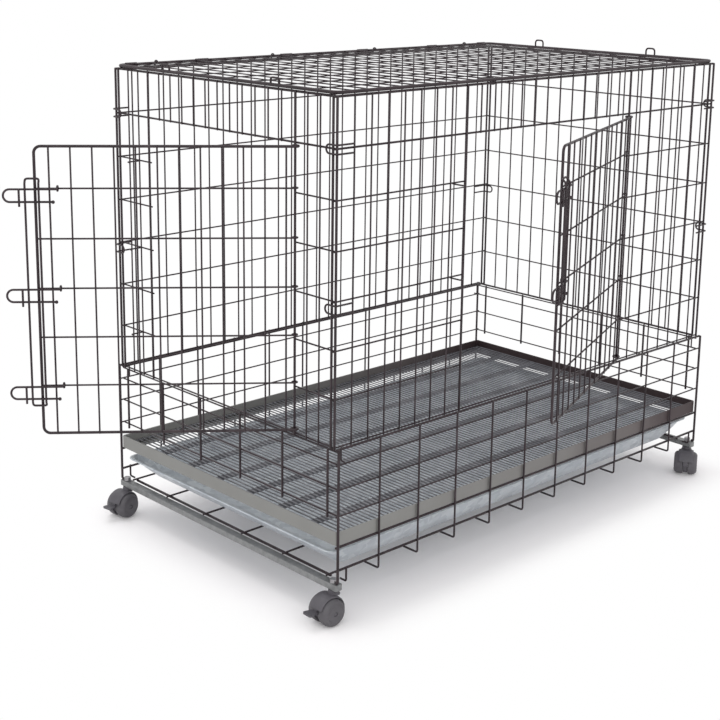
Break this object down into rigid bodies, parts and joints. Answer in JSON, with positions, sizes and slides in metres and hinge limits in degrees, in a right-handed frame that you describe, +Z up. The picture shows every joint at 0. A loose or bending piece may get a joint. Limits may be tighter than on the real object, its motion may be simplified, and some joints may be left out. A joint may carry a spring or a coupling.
{
  "type": "dog cage",
  "caption": "Welded-wire dog cage on twin-wheel casters, with hinged doors and roof, sliding wire bolts, a bar floor grille and a slide-out tray below.",
  "frame": {"origin": "on the floor, in the middle of the cage's plan between its four corners", "axes": "+X along the long side, away from the end doorway; +Y along the short side, away from the side doorway; +Z up"},
  "size_m": [1.1988, 0.709, 0.7473],
  "materials": {
    "base_bar_left": "grey coated steel",
    "base_bar_right": "grey coated steel",
    "brake_lever_left": "dark grey moulded plastic",
    "brake_lever_near": "dark grey moulded plastic",
    "caster_axle_far": "bright zinc-plated steel",
    "caster_axle_left": "bright zinc-plated steel",
    "caster_axle_near": "bright zinc-plated steel",
    "caster_axle_right": "bright zinc-plated steel",
    "caster_hood_far": "dark grey moulded plastic",
    "caster_hood_left": "dark grey moulded plastic",
    "caster_hood_near": "dark grey moulded plastic",
    "caster_hood_right": "dark grey moulded plastic",
    "caster_stem_far": "bright zinc-plated steel",
    "caster_stem_left": "bright zinc-plated steel",
    "caster_stem_near": "bright zinc-plated steel",
    "caster_stem_right": "bright zinc-plated steel",
    "caster_wheel_far_a": "dark grey moulded plastic",
    "caster_wheel_far_b": "dark grey moulded plastic",
    "caster_wheel_left_a": "dark grey moulded plastic",
    "caster_wheel_left_b": "dark grey moulded plastic",
    "caster_wheel_near_a": "dark grey moulded plastic",
    "caster_wheel_near_b": "dark grey moulded plastic",
    "caster_wheel_right_a": "dark grey moulded plastic",
    "caster_wheel_right_b": "dark grey moulded plastic",
    "corner_clip_1": "dark brown-black coating on steel wire",
    "corner_clip_2": "dark brown-black coating on steel wire",
    "corner_clip_3": "dark brown-black coating on steel wire",
    "corner_clip_4": "dark brown-black coating on steel wire",
    "corner_clip_5": "dark brown-black coating on steel wire",
    "corner_clip_6": "dark brown-black coating on steel wire",
    "corner_clip_7": "dark brown-black coating on steel wire",
    "corner_clip_8": "dark brown-black coating on steel wire",
    "end_bolt_1": "dark brown-black coating on steel wire",
    "end_bolt_2": "dark brown-black coating on steel wire",
    "end_bolt_3": "dark brown-black coating on steel wire",
    "end_bolt_carrier": "dark brown-black coating on steel wire",
    "end_door": "dark brown-black coating on steel wire",
    "grille_bars": "dark brown-black coating on steel wire",
    "grille_frame": "warm grey to dark brown hammered coating on steel",
    "low_wall_back": "dark brown-black coating on steel wire",
    "low_wall_front": "dark brown-black coating on steel wire",
    "low_wall_left": "dark brown-black coating on steel wire",
    "low_wall_right": "dark brown-black coating on steel wire",
    "roof": "dark brown-black coating on steel wire",
    "side_bolt_1": "dark brown-black coating on steel wire",
    "side_bolt_2": "dark brown-black coating on steel wire",
    "side_bolt_carrier": "dark brown-black coating on steel wire",
    "side_door": "dark brown-black coating on steel wire",
    "tray": "galvanised sheet steel",
    "tray_rails": "dark brown-black coating on steel wire",
    "upper_wall_back": "dark brown-black coating on steel wire",
    "upper_wall_front": "dark brown-black coating on steel wire",
    "upper_wall_left": "dark brown-black coating on steel wire",
    "upper_wall_right": "dark brown-black coating on steel wire"
  },
  "bodies": {
    "cage": {"low_wall_front": "low_wall_front", "low_wall_back": "low_wall_back", "low_wall_left": "low_wall_left", "low_wall_right": "low_wall_right", "tray_rails": "tray_rails", "base_bar_left": "base_bar_left", "base_bar_right": "base_bar_right", "grille_frame": "grille_frame", "grille_bars": "grille_bars", "upper_wall_front": "upper_wall_front", "upper_wall_back": "upper_wall_back", "upper_wall_left": "upper_wall_left", "upper_wall_right": "upper_wall_right", "corner_clip_1": "corner_clip_1", "corner_clip_2": "corner_clip_2", "corner_clip_3": "corner_clip_3", "corner_clip_4": "corner_clip_4", "corner_clip_5": "corner_clip_5", "corner_clip_6": "corner_clip_6", "corner_clip_7": "corner_clip_7", "corner_clip_8": "corner_clip_8", "caster_stem_near": "caster_stem_near", "caster_stem_left": "caster_stem_left", "caster_stem_right": "caster_stem_right", "caster_stem_far": "caster_stem_far"},
    "slide_out_tray": {"tray": "tray"},
    "roof_panel": {"roof": "roof"},
    "end_door_panel": {"end_door": "end_door", "end_bolt_carrier": "end_bolt_carrier"},
    "side_door_panel": {"side_door": "side_door", "side_bolt_carrier": "side_bolt_carrier"},
    "end_bolt_1_wire": {"end_bolt_1": "end_bolt_1"},
    "end_bolt_2_wire": {"end_bolt_2": "end_bolt_2"},
    "end_bolt_3_wire": {"end_bolt_3": "end_bolt_3"},
    "side_bolt_1_wire": {"side_bolt_1": "side_bolt_1"},
    "side_bolt_2_wire": {"side_bolt_2": "side_bolt_2"},
    "swivel_near": {"caster_hood_near": "caster_hood_near"},
    "wheels_near": {"caster_axle_near": "caster_axle_near", "caster_wheel_near_a": "caster_wheel_near_a", "caster_wheel_near_b": "caster_wheel_near_b"},
    "brake_near": {"brake_lever_near": "brake_lever_near"},
    "swivel_left": {"caster_hood_left": "caster_hood_left"},
    "wheels_left": {"caster_axle_left": "caster_axle_left", "caster_wheel_left_a": "caster_wheel_left_a", "caster_wheel_left_b": "caster_wheel_left_b"},
    "brake_left": {"brake_lever_left": "brake_lever_left"},
    "swivel_right": {"caster_hood_right": "caster_hood_right"},
    "wheels_right": {"caster_axle_right": "caster_axle_right", "caster_wheel_right_a": "caster_wheel_right_a", "caster_wheel_right_b": "caster_wheel_right_b"},
    "swivel_far": {"caster_hood_far": "caster_hood_far"},
    "wheels_far": {"caster_axle_far": "caster_axle_far", "caster_wheel_far_a": "caster_wheel_far_a", "caster_wheel_far_b": "caster_wheel_far_b"}
  },
  "joints": [
    {"name": "end_door_hinge", "type": "hinge", "parent": "cage", "child": "end_door_panel", "pos_m": [-0.4305, -0.17, 0.458], "axis": [0, 0, 1], "range_deg": [-51, 99]},
    {"name": "side_door_hinge", "type": "hinge", "parent": "cage", "child": "side_door_panel", "pos_m": [0.1975, -0.2525, 0.458], "axis": [0, 0, 1], "range_deg": [-22, 128]},
    {"name": "tray_slide", "type": "slide", "parent": "cage", "child": "slide_out_tray", "axis": [-1, 0, 0], "range_m": [0, 0.75]},
    {"name": "roof_hinge", "type": "hinge", "parent": "cage", "child": "roof_panel", "pos_m": [0, 0.2497, 0.7328], "axis": [-1, 0, 0], "range_deg": [0, 95]},
    {"name": "end_bolt_1_slide", "type": "slide", "parent": "end_door_panel", "child": "end_bolt_1_wire", "axis": [-0.7771, 0.6293, 0], "range_m": [0, 0.005]},
    {"name": "end_bolt_2_slide", "type": "slide", "parent": "end_door_panel", "child": "end_bolt_2_wire", "axis": [-0.7771, 0.6293, 0], "range_m": [0, 0.005]},
    {"name": "end_bolt_3_slide", "type": "slide", "parent": "end_door_panel", "child": "end_bolt_3_wire", "axis": [-0.7771, 0.6293, 0], "range_m": [0, 0.005]},
    {"name": "side_bolt_1_slide", "type": "slide", "parent": "side_door_panel", "child": "side_bolt_1_wire", "axis": [-0.9272, -0.3746, 0], "range_m": [0, 0.005]},
    {"name": "side_bolt_2_slide", "type": "slide", "parent": "side_door_panel", "child": "side_bolt_2_wire", "axis": [-0.9272, -0.3746, 0], "range_m": [0, 0.005]},
    {"name": "swivel_near_turn", "type": "hinge", "parent": "cage", "child": "swivel_near", "pos_m": [-0.428, -0.2505, 0.045], "axis": [0, 0, 1], "continuous": true},
    {"name": "wheels_near_roll", "type": "hinge", "parent": "swivel_near", "child": "wheels_near", "pos_m": [-0.43999, -0.25008, 0.02], "axis": [-0.0349, -0.9994, 0], "continuous": true},
    {"name": "brake_near_press", "type": "hinge", "parent": "swivel_near", "child": "brake_near", "pos_m": [-0.46348, -0.24926, 0.0235], "axis": [-0.0349, -0.9994, 0], "range_deg": [0, 18]},
    {"name": "swivel_left_turn", "type": "hinge", "parent": "cage", "child": "swivel_left", "pos_m": [-0.428, 0.2505, 0.045], "axis": [0, 0, 1], "continuous": true},
    {"name": "wheels_left_roll", "type": "hinge", "parent": "swivel_left", "child": "wheels_left", "pos_m": [-0.43982, 0.24842, 0.02], "axis": [0.1736, -0.9848, 0], "continuous": true},
    {"name": "brake_left_press", "type": "hinge", "parent": "swivel_left", "child": "brake_left", "pos_m": [-0.46296, 0.24433, 0.0235], "axis": [0.1736, -0.9848, 0], "range_deg": [0, 18]},
    {"name": "swivel_right_turn", "type": "hinge", "parent": "cage", "child": "swivel_right", "pos_m": [0.428, -0.2505, 0.045], "axis": [0, 0, 1], "continuous": true},
    {"name": "wheels_right_roll", "type": "hinge", "parent": "swivel_right", "child": "wheels_right", "pos_m": [0.41782, -0.25686, 0.02], "axis": [0.5299, -0.848, 0], "continuous": true},
    {"name": "swivel_far_turn", "type": "hinge", "parent": "cage", "child": "swivel_far", "pos_m": [0.428, 0.2505, 0.045], "axis": [0, 0, 1], "continuous": true},
    {"name": "wheels_far_roll", "type": "hinge", "parent": "swivel_far", "child": "wheels_far", "pos_m": [0.434, 0.26089, 0.02], "axis": [-0.866, 0.5, 0], "continuous": true}
  ]
}
